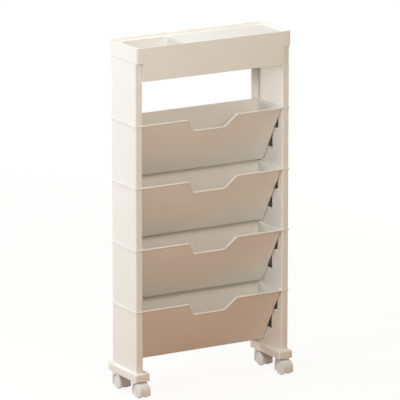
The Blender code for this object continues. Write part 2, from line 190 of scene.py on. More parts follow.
class TraySizes(bpy.types.PropertyGroup):
    wall: length("Wall", "Wall of the tray", 0.003)
    corner: length("Corner", "Radius of the tray's upright corners", 0.006)
    platform_drop: length("Platform", "Rim down to the platform", 0.006)
    divider: length("Divider", "Middle of the rack to the divider", -0.0645)
    well_round: length("Well corner", "Radius of the well's corners", 0.005)
    hollow_round: length("Hollow corner", "Radius of the corners under the platform", 0.002)
    apron: length("Apron", "Top seam down to the apron's lower edge", 0.043)
    ledge: length("Ledge", "Narrow ledge along the front of the well", 0.0016)
    edge: length("Edge", "Radius of all small edges", 0.0006)


class TenonSizes(bpy.types.PropertyGroup):
    fit: length("Fit", "Room between a tenon and the sleeve", 0.0005)
    depth: length("Depth", "Tenon, front to back", 0.016)
    down: length("Down", "Length of a long tenon", 0.045)
    up: length("Up", "Length of a short tenon", 0.012)
    edge: length("Edge", "Radius of a tenon's edges", 0.0004)


class FootSizes(bpy.types.PropertyGroup):
    wall: length("Wall", "Wall of the foot", 0.003)
    corner: length("Corner", "Radius of the upright corners", 0.005)
    top_round: length("Top edge", "Radius of the upper edge", 0.003)
    boss: length("Boss", "Radius of the boss round a stem", 0.0075)
    boss_rise: length("Boss end", "Lower edge of the foot up to the boss", 0.0005)
    bore_rise: length("Bore end", "How far the bore reaches into the top plate", 0.0008)
    edge: length("Edge", "Radius of all small edges", 0.0006)


class CasterSizes(bpy.types.PropertyGroup):
    trail: length("Trail", "Stem axis to axle", 0.013)
    hood: length("Hood", "Outer radius of the fender", 0.020)
    hood_rear: length("Hood rear", "Axle to the back of the hood", 0.022)
    hood_low: length("Hood bottom", "Axle down to the hood's lower edge", 0.010)
    hood_half: length("Hood half width", "Middle to the hood's side", 0.0145)
    hood_corner: length("Hood corner", "Radius of the upper rear corner", 0.006)
    hood_edge: length("Hood edge", "Radius of the hood's side edges", 0.0022)
    web_half: length("Web", "Half the thickness of the middle web", 0.00525)
    boss: length("Boss", "Radius of the hood's stem boss", 0.0075)
    boss_gap: length("Boss gap", "Wheel room up to the boss", 0.0004)
    foot_gap: length("Foot gap", "Boss up to the foot", 0.0012)
    bore_rise: length("Bore", "Axle up to the lower end of the stem's bore", 0.005)
    wheel_room: length("Wheel room", "Gap between tread and fender", 0.0012)
    wheel: length("Wheel", "Radius of a wheel", 0.017)
    wheel_width: length("Wheel width", "Width of a wheel", 0.0085)
    wheel_face: length("Wheel face", "Thickness that the wheel's bore leaves", 0.0014)
    wheel_edge: length("Wheel edge", "Radius of a wheel's small edges", 0.0002)
    tread_round: length("Tread edge", "Radius of the tread's outer edge", 0.0022)
    back_round: length("Back edge", "Radius of the tread's edge at the web", 0.0010)
    stem: length("Stem", "Radius of the stem", 0.003)
    stem_edge: length("Stem edge", "Radius of the stem's edges", 0.0003)
    collar: length("Collar", "Radius of the stem's thrust collar", 0.0055)
    collar_drop: length("Collar drop", "Foot down to the collar's lower face", 0.0008)
    collar_height: length("Collar height", "Thickness of the collar", 0.0007)
    axle: length("Axle", "Radius of the axle", 0.002)
    fit: length("Fit", "Gap round a pin", 0.0003)
    edge: length("Edge", "Radius of all small edges", 0.0004)


class FinishColours(bpy.types.PropertyGroup):
    cream: colour("Cream", "Plastic of the mouldings", (0.855, 0.835, 0.80))
    cream_warm: colour("Warm cream", "The plastic's warmer clouds", (0.835, 0.805, 0.76))
    caster: colour("Caster", "Plastic of the casters", (0.82, 0.83, 0.835))
    caster_worn: colour("Scuffed caster", "The casters' scuffs", (0.70, 0.70, 0.69))
    zinc: colour("Zinc", "Plated steel of pins and axles", (0.60, 0.61, 0.62))
    zinc_dull: colour("Dull zinc", "The steel's turning marks", (0.48, 0.48, 0.47))


class StudioSettings(bpy.types.PropertyGroup):
    lens: length("Lens", "Focal length in metres", 0.3905)
    azimuth: angle("Azimuth", "Camera angle round the rack", -30.3)
    elevation: angle("Elevation", "Camera angle above the floor", 14)
    distance: length("Distance", "Camera to the point it looks at", 10.365)
    aim: bpy.props.FloatVectorProperty(
        name="Aim",
        description="The point that the camera looks at",
        default=(0.011, 0.0278, 0.439),
        unit="LENGTH",
    )
    key: share("Key light", "Power of the large lamp on the left", 27)
    top: share("Top light", "Power of the lamp overhead", 18)
    fill: share("Fill light", "Power of the lamp in front", 25)
    rear: share("Rear light", "Power of the lamp behind on the right", 38)
    side: share("Side light", "Power of the lamp behind on the left", 24)
    ambient: share("Ambient", "Strength of the light from all round", 0.24)
    ambient_tint: colour("Ambient tint", "Colour of the light from all round", (1.0, 0.88, 0.68))
    floor: colour("Floor", "Colour of the floor as seen", (0.95, 0.95, 0.95))
    # Painted shade: the colour the floor throws back is darker and browner close to the rack, where its
    # shade falls on a warm floor.
    near_floor_shade: colour("Near floor", "Colour that the floor throws back close by", (0.42, 0.17, 0.03))
    floor_far: colour("Far floor", "Colour that the floor throws back from afar", (0.50, 0.42, 0.34))
    floor_radius: length("Floor radius", "Radius of the floor", 40)
    floor_drop: length("Floor drop", "Wheels down to the floor", 0.0002)
    white: share("White", "How much of the floor shows as plain white", 0.90)


def only(piece):
    """Makes a piece the one selected and active object."""
    bpy.ops.object.select_all(action="DESELECT")
    piece.select_set(True)
    bpy.context.view_layer.objects.active = piece


@contextmanager
def editing(piece):
    """Edit mode on a piece, and object mode after it."""
    only(piece)
    bpy.ops.object.mode_set(mode="EDIT")
    yield
    bpy.ops.object.mode_set(mode="OBJECT")


def pick_edges(piece, wanted):
    """In edit mode, selects the edges whose middle and direction are wanted."""
    bpy.ops.mesh.select_mode(type="EDGE")
    bpy.ops.mesh.select_all(action="DESELECT")
    shape = bmesh.from_edit_mesh(piece.data)
    for edge in shape.edges:
        start, end = (corner.co for corner in edge.verts)
        if wanted((start + end) / 2, (end - start).normalized()):
            edge.select_set(True)
    bmesh.update_edit_mesh(piece.data)


def pick_faces(piece, wanted):
    """In edit mode, selects the faces whose middle and normal are wanted."""
    bpy.ops.mesh.select_mode(type="FACE")
    bpy.ops.mesh.select_all(action="DESELECT")
    shape = bmesh.from_edit_mesh(piece.data)
    for face in shape.faces:
        if wanted(face.calc_center_median(), face.normal):
            face.select_set(True)
    bmesh.update_edit_mesh(piece.data)


def block(name, low, high):
    """A cuboid between two corners, with its place in its mesh."""
    low, high = Vector(low), Vector(high)
    bpy.ops.object.select_all(action="DESELECT")
    bpy.ops.mesh.primitive_cube_add(size=1, location=(low + high) / 2)
    piece = bpy.context.object
    piece.name = name
    piece.scale = high - low
    bpy.ops.object.transform_apply()
    return piece


def drum(name, axis, start, end, radius, sides=48):
    """A cylinder between two points of a line along the X or Z axis."""
    start, end = Vector(start), Vector(end)
    turn = (0, pi / 2, 0) if axis == "X" else (0, 0, 0)
    bpy.ops.object.select_all(action="DESELECT")
    bpy.ops.mesh.primitive_cylinder_add(
        vertices=sides,
        radius=radius,
        depth=(end - start).length,
        location=(start + end) / 2,
        rotation=turn,
    )
    piece = bpy.context.object
    piece.name = name
    bpy.ops.object.transform_apply()
    return piece


def extrude(shift):
    """In edit mode, draws the picked faces out by a shift."""
    bpy.ops.mesh.extrude_region_move(TRANSFORM_OT_translate={"value": shift})


def round_edges(piece, radius, wanted, segments=4):
    with editing(piece):
        pick_edges(piece, wanted)
        bpy.ops.mesh.bevel(offset=radius, segments=segments, affect="EDGES", clamp_overlap=False)


def upright(at, along):
    return abs(along.z) > ALONG


def crosswise(at, along):
    return abs(along.x) > ALONG


def apply(piece, modifier):
    only(piece)
    bpy.ops.object.modifier_apply(modifier=modifier.name)


def combine(piece, tool, operation):
    change = piece.modifiers.new(operation.title(), "BOOLEAN")
    change.operation = operation
    change.object = tool
    change.solver = "EXACT"
    apply(piece, change)
    bpy.data.objects.remove(tool)


def cut(piece, *tools):
    for tool in tools:
        combine(piece, tool, "DIFFERENCE")


def join(piece, *tools):
    for tool in tools:
        combine(piece, tool, "UNION")


def soften(piece, width, segments=2):
    """Clears stray edges and rounds what is still sharp."""
    with editing(piece):
        bpy.ops.mesh.select_mode(type="VERT")
        bpy.ops.mesh.select_all(action="SELECT")
        bpy.ops.mesh.remove_doubles(threshold=WELD)
        bpy.ops.mesh.dissolve_limited(angle_limit=FLAT)
    edges = piece.modifiers.new("Soft edges", "BEVEL")
    edges.width = width
    edges.segments = segments
    edges.limit_method = "ANGLE"
    edges.angle_limit = SHARP
    edges.use_clamp_overlap = False
    apply(piece, edges)
    with editing(piece):
        bpy.ops.mesh.select_all(action="SELECT")
        bpy.ops.mesh.delete_loose()


def shade(piece):
    """Smooth shading that keeps the flat faces flat."""
    only(piece)
    bpy.ops.mesh.customdata_custom_splitnormals_clear()
    bpy.ops.object.shade_smooth_by_angle(angle=SMOOTH)
    shading = piece.modifiers.new("Even shading", "WEIGHTED_NORMAL")
    shading.keep_sharp = True
    apply(piece, shading)


def copied(piece, name, shift=(0, 0, 0)):
    """A copy with a mesh of its own, moved by a shift."""
    only(piece)
    bpy.ops.object.duplicate()
    twin = bpy.context.object
    twin.name = name
    twin.location = shift
    bpy.ops.object.transform_apply()
    return twin


def flipped(piece, name):
    """A copy mirrored to the other side of the rack."""
    twin = copied(piece, name)
    twin.scale = (-1, 1, 1)
    bpy.ops.object.transform_apply()
    with editing(twin):
        bpy.ops.mesh.select_all(action="SELECT")
        bpy.ops.mesh.normals_make_consistent(inside=False)
    shade(twin)
    return twin


def dress(piece, slot, body, *nodes):
    """Gives a piece its finish and its body, and hides the CAD nodes it stands for."""
    piece.data.materials.clear()
    piece.data.materials.append(material(slot))
    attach(piece, body)
    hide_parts(*nodes)


class Socket:
    """An output socket that takes part in sums: each operator adds a Math node."""

    def __init__(self, finish, output):
        self.finish = finish
        self.output = output

    def math(self, operation, first, second):
        return self.finish.node("ShaderNodeMath", {"operation": operation}, {0: first, 1: second})

    def __add__(self, other):
        return self.math("ADD", self, other)

    def __sub__(self, other):
        return self.math("SUBTRACT", self, other)

    def __mul__(self, other):
        return self.math("MULTIPLY", self, other)

    __radd__ = __add__
    __rmul__ = __mul__


class Finish:
    """A material's nodes round its Principled shader."""

    def __init__(self, name):
        self.material = bpy.data.materials.new(name)
        self.material.use_nodes = True
        self.tree = self.material.node_tree
        self.shader = self.tree.nodes["Principled BSDF"]

    def node(self, kind, settings, sockets, output=0):
        made = self.tree.nodes.new(kind)
        for key, value in settings.items():
            setattr(made, key, value)
        for key, value in sockets.items():
            self.feed(made.inputs[key], value)
        return Socket(self, made.outputs[output])

    def feed(self, socket, value):
        if isinstance(value, Socket):
            self.tree.links.new(value.output, socket)
        else:
            socket.default_value = value

    def set(self, **sockets):
        for key, value in sockets.items():
            self.feed(self.shader.inputs[key.replace("_", " ").title()], value)

    def place(self):
        return self.node("ShaderNodeTexCoord", {}, {}, "Object")

    def noise(self, place, scale, detail=2.0, roughness=0.5):
        sockets = {"Vector": place, "Scale": scale, "Detail": detail, "Roughness": roughness}
        return self.node("ShaderNodeTexNoise", {"noise_dimensions": "3D"}, sockets)

    def band(self, value, low, high, out_low=0.0, out_high=1.0):
        sockets = {0: value, 1: low, 2: high, 3: out_low, 4: out_high}
        return self.node("ShaderNodeMapRange", {"clamp": True}, sockets)

    def tint(self, factor, *ends):
        first, second = (end if isinstance(end, Socket) else (*end, 1.0) for end in ends)
        sockets = {0: factor, 6: first, 7: second}
        return self.node("ShaderNodeMix", {"data_type": "RGBA"}, sockets, 2)

    def bump(self, height, distance, strength, under=None):
        sockets = {"Height": height, "Distance": distance, "Strength": strength}
        if under is not None:
            sockets["Normal"] = under
        return self.node("ShaderNodeBump", {}, sockets)


def cream_plastic():
    """Satin moulded plastic: faint warm clouds, flow waviness and a fine eroded grain."""
    colours = bpy.context.scene.rack_colours
    finish = Finish("rack_cream_plastic")
    place = finish.place()
    clouds = finish.band(finish.noise(place, scale=7.0, detail=3.0), 0.35, 0.70)
    grain = finish.noise(place, scale=1400.0)
    waves = finish.noise(place, scale=22.0, detail=1.0)
    scuffs = finish.band(finish.noise(place, scale=60.0, detail=5.0, roughness=0.7), 0.55, 0.80)
    ripple = finish.bump(waves, distance=0.0006, strength=0.12)
    finish.set(
        base_color=finish.tint(clouds * 0.55 + scuffs * 0.2, colours.cream, colours.cream_warm),
        roughness=0.56 + 0.08 * clouds + 0.06 * grain - 0.05 * scuffs,
        normal=finish.bump(grain, distance=0.00006, strength=0.5, under=ripple),
    )
    return finish.material


def caster_plastic():
    """Smooth caster plastic with fine scuffs where it rolls and rubs."""
    colours = bpy.context.scene.rack_colours
    finish = Finish("rack_caster_plastic")
    place = finish.place()
    scuffs = finish.band(finish.noise(place, scale=240.0, detail=6.0, roughness=0.75), 0.54, 0.72)
    clouds = finish.noise(place, scale=30.0)
    finish.set(
        base_color=finish.tint(scuffs * 0.5 + clouds * 0.2, colours.caster, colours.caster_worn),
        roughness=0.30 + 0.20 * scuffs + 0.06 * clouds,
        normal=finish.bump(scuffs, distance=0.00005, strength=0.5),
    )
    return finish.material


def zinc_steel():
    """Plated steel with turning marks round the pin."""
    colours = bpy.context.scene.rack_colours
    finish = Finish("rack_zinc_steel")
    stretch = {"Vector": finish.place(), "Scale": (1, 1, 12)}
    turning = finish.noise(finish.node("ShaderNodeMapping", {}, stretch), scale=300.0)
    finish.set(
        base_color=finish.tint(turning * 0.5, colours.zinc, colours.zinc_dull),
        metallic=1.0,
        roughness=0.26 + 0.18 * turning,
        normal=finish.bump(turning, distance=0.00004, strength=0.4),
    )
    return finish.material


MAKERS = {"cream_plastic": cream_plastic, "caster_plastic": caster_plastic, "zinc_steel": zinc_steel}


def material(name):
    """A finish by name, made at its first use."""
    return bpy.data.materials.get(f"rack_{name}") or MAKERS[name]()


def add_tenons(piece, side, low, high):
    """Joins the front and rear tenon that plug into a column."""
    scene = bpy.context.scene
    wall = scene.rack_column.wall + scene.rack_tenon.fit
    x0, x1 = sorted((side * (HALF - scene.rack_column.thickness + wall), side * (HALF - wall)))
    depth = scene.rack_tenon.depth
    for y in (FRONT + wall, BACK - wall - depth):
        tenon = block("tenon", (x0, y, low), (x1, y + depth, high))
        soften(tenon, scene.rack_tenon.edge, 3)
        join(piece, tenon)


class RACK_OT_columns(bpy.types.Operator):
    """Sleeves of the two side columns, with stepped windows and rest pegs"""

    bl_idname = "rack.columns"
    bl_label = "Side columns"

    def sleeve(self, sizes, windowed):
        """A module of the right column under the first seam."""
        low, high = LOW_MODULE[0].z, LOW_MODULE[1].z
        if not windowed:
            high = TOP_MODULE[1].z - (MODULES - 1) * PITCH
        inner, wall = HALF - sizes.thickness, sizes.wall
        middle = (inner + HALF) / 2

        def outside(at, along):
            return upright(at, along) and at.x > middle

        def inside_front(at, along):
            return upright(at, along) and at.x < middle and at.y < FRONT + TINY

        sleeve = block("sleeve", (inner, FRONT, low), (HALF, BACK, high))
        round_edges(sleeve, sizes.outer_round, outside)
        round_edges(sleeve, sizes.inner_round, inside_front)
        join(sleeve, block("lip", (LOW_MODULE[0].x, BACK - wall, low), (inner + LAP, BACK, high)))
        hollow = block(
            "hollow", (inner + wall, FRONT + wall, low - wall), (HALF - wall, BACK - wall, high + wall)
        )
        round_edges(hollow, sizes.outer_round - wall / 2, upright, 3)
        cut(sleeve, hollow)
        if windowed:
            cut(sleeve, self.window(sizes, inner))
            join(sleeve, self.peg(sizes, inner))
        soften(sleeve, sizes.edge)
        shade(sleeve)
        return sleeve

    def window(self, sizes, inner):
        """The stepped cutter: a low block whose upper part reaches further forward."""
        x0, x1 = inner - sizes.wall, inner + 2 * sizes.wall
        bottom = FIRST_SEAM - sizes.low_drop
        middle = FIRST_SEAM - sizes.step_drop
        top = FIRST_SEAM - sizes.window_top
        front, back = FRONT + sizes.low_depth, FRONT + sizes.window_back
        tool = block("window", (x0, front, bottom), (x1, back, middle))
        with editing(tool):
            pick_faces(tool, lambda at, normal: normal.z > FACING)
            extrude((0, 0, top - middle))
            pick_faces(tool, lambda at, normal: normal.y < -FACING and at.z > middle)
            extrude((0, sizes.step_depth - sizes.low_depth, 0))
        round_edges(tool, sizes.window_round, crosswise, 3)
        return tool

    def peg(self, sizes, inner):
        """The small rest under a pocket's front wall."""
        y = FRONT + sizes.step_depth - sizes.peg_root
        z = FIRST_SEAM - sizes.step_drop - sizes.peg_height / 2
        peg = block(
            "peg",
            (inner - sizes.peg_reach, y, z),
            (inner + sizes.wall / 2, y + sizes.peg_depth, z + sizes.peg_height),
        )
        round_edges(peg, sizes.window_round, crosswise, 3)
        return peg

    def execute(self, context):
        sizes = context.scene.rack_column
        patterns = {windowed: self.sleeve(sizes, windowed) for windowed in (True, False)}
        for number in range(1, MODULES + 1):
            pattern = patterns[number <= WINDOWED]
            right = copied(pattern, f"column_right_{number}", (0, 0, (number - 1) * PITCH))
            left = flipped(right, f"column_left_{number}")
            dress(right, "cream_plastic", "rack", f"side_panel_right_{number}")
            dress(left, "cream_plastic", "rack", f"side_panel_left_{number}")
        for pattern in patterns.values():
            bpy.data.objects.remove(pattern)
        return {"FINISHED"}


class RACK_OT_pockets(bpy.types.Operator):
    """Slanted pockets, each with its rim, notch and bead"""

    bl_idname = "rack.pockets"
    bl_label = "Pockets"

    def wedge(self, name, half, front, back, low, high, slope):
        """A block whose front leans: front is its place at the rim's middle."""
        tool = block(name, (-half, front, low), (half, back, high))
        rise = high - FIRST_SEAM
        drop = FIRST_SEAM - low
        with editing(tool):
            pick_edges(tool, lambda at, along: at.y < front + TINY and at.z > high - TINY)
            bpy.ops.transform.translate(value=(0, -rise * slope, 0))
            pick_edges(tool, lambda at, along: at.y < front + TINY and at.z < low + TINY)
            bpy.ops.transform.translate(value=(0, drop * slope, 0))
        return tool

    def plug(self, sizes, name, over, *sections):
        """A trapezoid through the front wall, which reaches over the rim.

        Each section, from the inside out, is its way out of the wall and how much it has grown.
        """
        tan = sizes.slope / (FIRST_SEAM - POCKET_LOW.z)
        lean = hypot(1, tan)
        flare = (sizes.notch_top - sizes.notch_low) / 2 / sizes.notch_depth
        tool = block(name, (-1, 0, -1), (1, 1, 1))
        with editing(tool):
            for _ in sections[2:]:
                pick_faces(tool, lambda at, normal: normal.y < -FACING)
                extrude((0, -1, 0))
        for corner in tool.data.vertices:
            out, grow = sections[round(1 - corner.co.y)]
            deep = sizes.notch_depth + grow
            half_low = sizes.notch_low / 2 + grow * (hypot(1, flare) - flare)
            down = deep if corner.co.z < 0 else -over
            half = half_low + (deep - down) * flare
            corner.co.x = half if corner.co.x > 0 else -half
            corner.co.y = FRONT + (down * tan - out) / lean
            corner.co.z = FIRST_SEAM + (-down - out * tan) / lean
        middle = FIRST_SEAM - sizes.notch_depth / 2

        def low_corner(at, along):
            """The edges that run out of the wall, not the outlines of the sections."""
            return abs(along.x) < 0.45 and at.z < middle

        round_edges(tool, sizes.notch_round + sections[0][1], low_corner, 6)
        return tool

    def tub(self, sizes, tenon):
        """The pocket that hangs at the first seam."""
        back, wall, proud = FRONT + sizes.back, sizes.wall, sizes.rim_proud
        bead, raised, chamfer = sizes.bead, sizes.bead_proud, sizes.chamfer
        slope = sizes.slope / (FIRST_SEAM - POCKET_LOW.z)
        tub = self.wedge("tub", sizes.half, FRONT, back, POCKET_LOW.z, FIRST_SEAM, slope)
        round_edges(tub, sizes.outer_round, lambda at, along: at.z < FIRST_SEAM - TINY)
        rim = block(
            "rim",
            (-HALF - proud, FRONT - proud, FIRST_SEAM - RIM / 2),
            (HALF + proud, BACK + proud, FIRST_SEAM + RIM / 2),
        )
        round_edges(rim, sizes.rim_corner, upright)
        round_edges(rim, sizes.rim_round, lambda at, along: abs(at.z - FIRST_SEAM) > RIM / 2 - TINY, 3)
        join(tub, rim)
        join(tub, self.plug(sizes, "bead", RIM / 4, (-wall / 2, bead), (raised, bead)))
        room = self.wedge(
            "room",
            sizes.half - wall,
            FRONT + wall * hypot(1, slope),
            back - wall,
            POCKET_LOW.z + wall,
            FIRST_SEAM + CLEAR,
            slope,
        )
        round_edges(room, sizes.inner_round, lambda at, along: at.z < FIRST_SEAM + CLEAR - TINY, 5)
        notch = (-CLEAR, 0), (raised - chamfer, 0), (raised + chamfer, 2 * chamfer)
        cut(tub, room, self.plug(sizes, "notch", 3 * RIM, *notch))
        for side in SIDES.values():
            add_tenons(tub, side, FIRST_SEAM - tenon.down, FIRST_SEAM + tenon.up)
        soften(tub, sizes.edge)
        shade(tub)
        return tub

    def execute(self, context):
        pattern = self.tub(context.scene.rack_pocket, context.scene.rack_tenon)
        for number in range(1, WINDOWED + 1):
            pocket = copied(pattern, f"pocket_tub_{number}", (0, 0, (number - 1) * PITCH))
            dress(pocket, "cream_plastic", "rack", f"pocket_{number}")
        bpy.data.objects.remove(pattern)
        return {"FINISHED"}


class RACK_OT_tray(bpy.types.Operator):
    """Top tray with its deep well, platform and apron"""

    bl_idname = "rack.tray"
    bl_label = "Top tray"

    def execute(self, context):
        sizes = context.scene.rack_tray
        column = context.scene.rack_column
        pocket = context.scene.rack_pocket
        tenon = context.scene.rack_tenon
        seam = FIRST_SEAM + (MODULES - 1) * PITCH
        front, back = TRAY_LOW.y, TRAY_HIGH.y
        side, top = TRAY_HIGH.x, TRAY_HIGH.z
        apron_back = FRONT + pocket.back
        apron_low = seam - sizes.apron
        wall = sizes.wall
        under = top - sizes.platform_drop - wall

        tray = block("tray_moulding", (-side, front, apron_low), (side, back, top))
        round_edges(tray, sizes.corner, upright, 6)
        with editing(tray):
            pick_faces(tray, lambda at, normal: normal.z > FACING)
            bpy.ops.mesh.inset(thickness=wall)
            extrude((0, 0, -sizes.platform_drop))
        below = apron_low - wall
        tub = HALF - column.thickness - SEAM_GAP
        cut(tray, block("behind", (-2 * side, apron_back, below), (2 * side, 2 * back, seam)))
        for sign in SIDES.values():
            x0, x1 = sorted((sign * tub, sign * 2 * side))
            cut(tray, block("beside", (x0, 2 * front, below), (x1, 2 * back, seam)))
        inside = tub - wall
        well_end = sizes.divider - wall / 2
        inside_front, inside_back = front + wall, apron_back - wall
        well_low = (-inside, inside_front + sizes.ledge, apron_low + wall)
        well = block("well", well_low, (well_end, inside_back, top + CLEAR))
        round_edges(well, sizes.well_round, lambda at, along: at.z < top, 5)
        hollow = block("hollow", (well_end + wall, inside_front, below), (inside, inside_back, under))
        groove = block("groove", (-inside, apron_back, below), (inside, back - wall, under))
        for tool in (hollow, groove):
            round_edges(tool, sizes.hollow_round, lambda at, along: at.z > apron_low, 3)
        cut(tray, well, hollow, groove)
        for sign in SIDES.values():
            inner = HALF - column.thickness + column.wall
            x0, x1 = sorted((sign * inner, sign * (HALF - column.wall)))
            cut(tray, block("ear", (x0, inside_front, below), (x1, back - wall, under)))
        soften(tray, sizes.edge)
        for sign in SIDES.values():
            add_tenons(tray, sign, seam - tenon.down, under + wall / 2)
        shade(tray)
        dress(tray, "cream_plastic", "rack", "top_tray")
        return {"FINISHED"}


class RACK_OT_feet(bpy.types.Operator):
    """Feet under the columns, hollow below, with a boss round each stem"""

    bl_idname = "rack.feet"
    bl_label = "Feet"

    def execute(self, context):
        sizes = context.scene.rack_foot
        column = context.scene.rack_column
        tenon = context.scene.rack_tenon
        caster = context.scene.rack_caster
        for side_name, side in SIDES.items():
            low, high = (corner.copy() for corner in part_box(f"foot_{side_name}"))
            high.z = LOW_MODULE[0].z - RIM / 2 - SEAM_GAP
            foot = block(f"foot_shell_{side_name}", low, high)
            round_edges(foot, sizes.corner, upright, 5)
            round_edges(foot, sizes.top_round, lambda at, along: at.z > high.z - TINY, 4)
            plate = high.z - sizes.wall
            with editing(foot):
                pick_faces(foot, lambda at, normal: normal.z < -FACING)
                bpy.ops.mesh.inset(thickness=sizes.wall)
                extrude((0, 0, plate - low.z))
            for end_name in ENDS:
                pin_low, pin_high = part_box(f"caster_stem_{end_name}_{side_name}")
                pin = (pin_low + pin_high) / 2
                pin.z = 0
                start, end = low.z + sizes.boss_rise, plate + LAP
                join(foot, drum("boss", "Z", pin + UP * start, pin + UP * end, sizes.boss))
                start, end = low.z - CLEAR / 2, plate + sizes.bore_rise
                bore = caster.stem + caster.fit
                cut(foot, drum("bore", "Z", pin + UP * start, pin + UP * end, bore))
            root = high.z - sizes.wall / 4
            x0, x1 = sorted((side * (HALF - column.thickness), side * HALF))
            seat = block("seat", (x0, FRONT, root), (x1, BACK, LOW_MODULE[0].z - SEAM_GAP))
            round_edges(seat, column.inner_round, upright)
            join(foot, seat)
            soften(foot, sizes.edge)
            add_tenons(foot, side, root, high.z + tenon.down)
            shade(foot)
            dress(foot, "cream_plastic", "rack", f"foot_{side_name}")
        return {"FINISHED"}


class RACK_OT_casters(bpy.types.Operator):
    """Twin-wheel casters: stem, hood, axle and two wheels each"""

    bl_idname = "rack.casters"
    bl_label = "Casters"

    def hood(self, sizes, centre):
        """Fender, middle web, rear wall and stem boss about an axle."""
        half, low = sizes.hood_half, sizes.hood_low

        def upper(at, along):
            return crosswise(at, along) and at.z > centre.z + sizes.hood - TINY

        def upper_front(at, along):
            return upper(at, along) and at.y < centre.y

        def upper_rear(at, along):
            return upper(at, along) and at.y > centre.y + sizes.hood

        def flank(at, along):
            return abs(at.x - centre.x) > half - TINY and at.z > centre.z - low + TINY

        corner = centre + Vector((-half, -sizes.hood, -low))
        hood = block("hood", corner, centre + Vector((half, sizes.hood_rear, sizes.hood)))
        round_edges(hood, sizes.hood, upper_front, 16)
        round_edges(hood, sizes.hood_corner, upper_rear, 6)
        round_edges(hood, sizes.hood_edge, flank, 3)
        room = sizes.wheel + sizes.wheel_room
        for sign in SIDES.values():
            start = centre + Vector((sign * sizes.web_half, 0, 0))
            end = centre + Vector((sign * 2 * half, 0, 0))
            cut(hood, drum("room", "X", start, end, room, 64))
        reach = Vector((half, 0, 0))
        cut(hood, drum("axle_bore", "X", centre - reach, centre + reach, sizes.axle + sizes.fit, 32))
        soften(hood, sizes.edge)
        stem = centre + Vector((0, sizes.trail, 0))
        start = room + sizes.boss_gap
        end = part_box("foot_left")[0].z - sizes.foot_gap - centre.z
        boss = drum("boss", "Z", stem + UP * start, stem + UP * end, sizes.boss)
        soften(boss, sizes.edge)
        join(hood, boss)
        start, end = sizes.bore_rise, 2 * sizes.hood
        cut(hood, drum("bore", "Z", stem + UP * start, stem + UP * end, sizes.stem + sizes.fit, 32))
        shade(hood)
        return hood

    def wheel(self, sizes, centre, side, low, high):
        """A wheel with a grooved, slightly crowned face and a blind bore."""
        inner, outer = (low.x, high.x) if side > 0 else (high.x, low.x)

        def tread_end(at, along):
            """The edges round the wheel at both ends of its tread."""
            away = hypot(at.y - centre.y, at.z - centre.z)
            return away > 0.99 * sizes.wheel and abs(along.x) < 0.1

        def outside(at, along):
            return tread_end(at, along) and abs(at.x - outer) < TINY

        def inside(at, along):
            return tread_end(at, along) and abs(at.x - inner) < TINY

        start, end = centre.copy(), centre.copy()
        start.x, end.x = low.x, high.x
        wheel = drum("wheel", "X", start, end, sizes.wheel, 64)
        hub = sizes.wheel - sum(width for width, out in BACK_RINGS) - sizes.axle - sizes.fit
        with editing(wheel):
            pick_faces(wheel, lambda at, normal: normal.x * side > FACING)
            for width, out in FACE_RINGS:
                bpy.ops.mesh.inset(thickness=width, depth=out)
            pick_faces(wheel, lambda at, normal: normal.x * side < -FACING)
            for width, out in (*BACK_RINGS, (hub, 0.0)):
                bpy.ops.mesh.inset(thickness=width, depth=out)
            extrude((side * (sizes.wheel_width - sizes.wheel_face), 0, 0))
        round_edges(wheel, sizes.tread_round, outside, 5)
        round_edges(wheel, sizes.back_round, inside, 3)
        soften(wheel, sizes.wheel_edge)
        shade(wheel)
        return wheel

    def pin(self, sizes, centre, low, high):
        """A stem with its thrust collar, drawn up from its lower end."""
        start, end = centre.copy(), centre.copy()
        start.z, end.z = low.z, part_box("foot_left")[0].z - sizes.collar_drop
        pin = drum("pin", "Z", start, end, sizes.stem, 32)
        collar = sizes.collar_height
        grow = sizes.collar / sizes.stem
        with editing(pin):
            pick_faces(pin, lambda at, normal: normal.z > FACING)
            for rise, scale in ((0, grow), (collar, 1), (0, 1 / grow), (high.z - end.z - collar, 1)):
                extrude((0, 0, rise))
                bpy.ops.transform.resize(value=(scale, scale, 1), center_override=centre)
        soften(pin, sizes.stem_edge)
        shade(pin)
        return pin

    def axle(self, sizes, centre, low, high):
        start, end = centre.copy(), centre.copy()
        start.x, end.x = low.x, high.x
        axle = drum("axle", "X", start, end, sizes.axle, 32)
        soften(axle, sizes.edge)
        shade(axle)
        return axle

    def execute(self, context):
        sizes = context.scene.rack_caster
        home = "front_right"
        axle_low, axle_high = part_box(f"caster_axle_{home}")
        pin_low, pin_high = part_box(f"caster_stem_{home}")
        centre = (axle_low + axle_high) / 2
        stem = (pin_low + pin_high) / 2
        patterns = {
            "caster_hood": self.hood(sizes, centre),
            "caster_axle": self.axle(sizes, centre, axle_low, axle_high),
            "caster_stem": self.pin(sizes, stem, pin_low, pin_high),
            "caster_wheel_a": self.wheel(sizes, centre, -1, *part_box(f"caster_wheel_a_{home}")),
            "caster_wheel_b": self.wheel(sizes, centre, 1, *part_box(f"caster_wheel_b_{home}")),
        }
        for side_name in SIDES:
            for end_name in ENDS:
                corner = f"{end_name}_{side_name}"
                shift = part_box(f"caster_axle_{corner}")[0] - axle_low
                for kind, pattern in patterns.items():
                    piece = copied(pattern, f"{kind}_shape_{corner}", shift)
                    body = f"caster_{corner}"
                    if kind == "caster_stem":
                        body = "rack"
                    elif "wheel" in kind:
                        body = f"{kind.removeprefix('caster_')}_{corner}"
                    metal = kind in ("caster_axle", "caster_stem")
                    slot = "zinc_steel" if metal else "caster_plastic"
                    dress(piece, slot, body, f"{kind}_{corner}")
        for pattern in patterns.values():
            bpy.data.objects.remove(pattern)
        return {"FINISHED"}


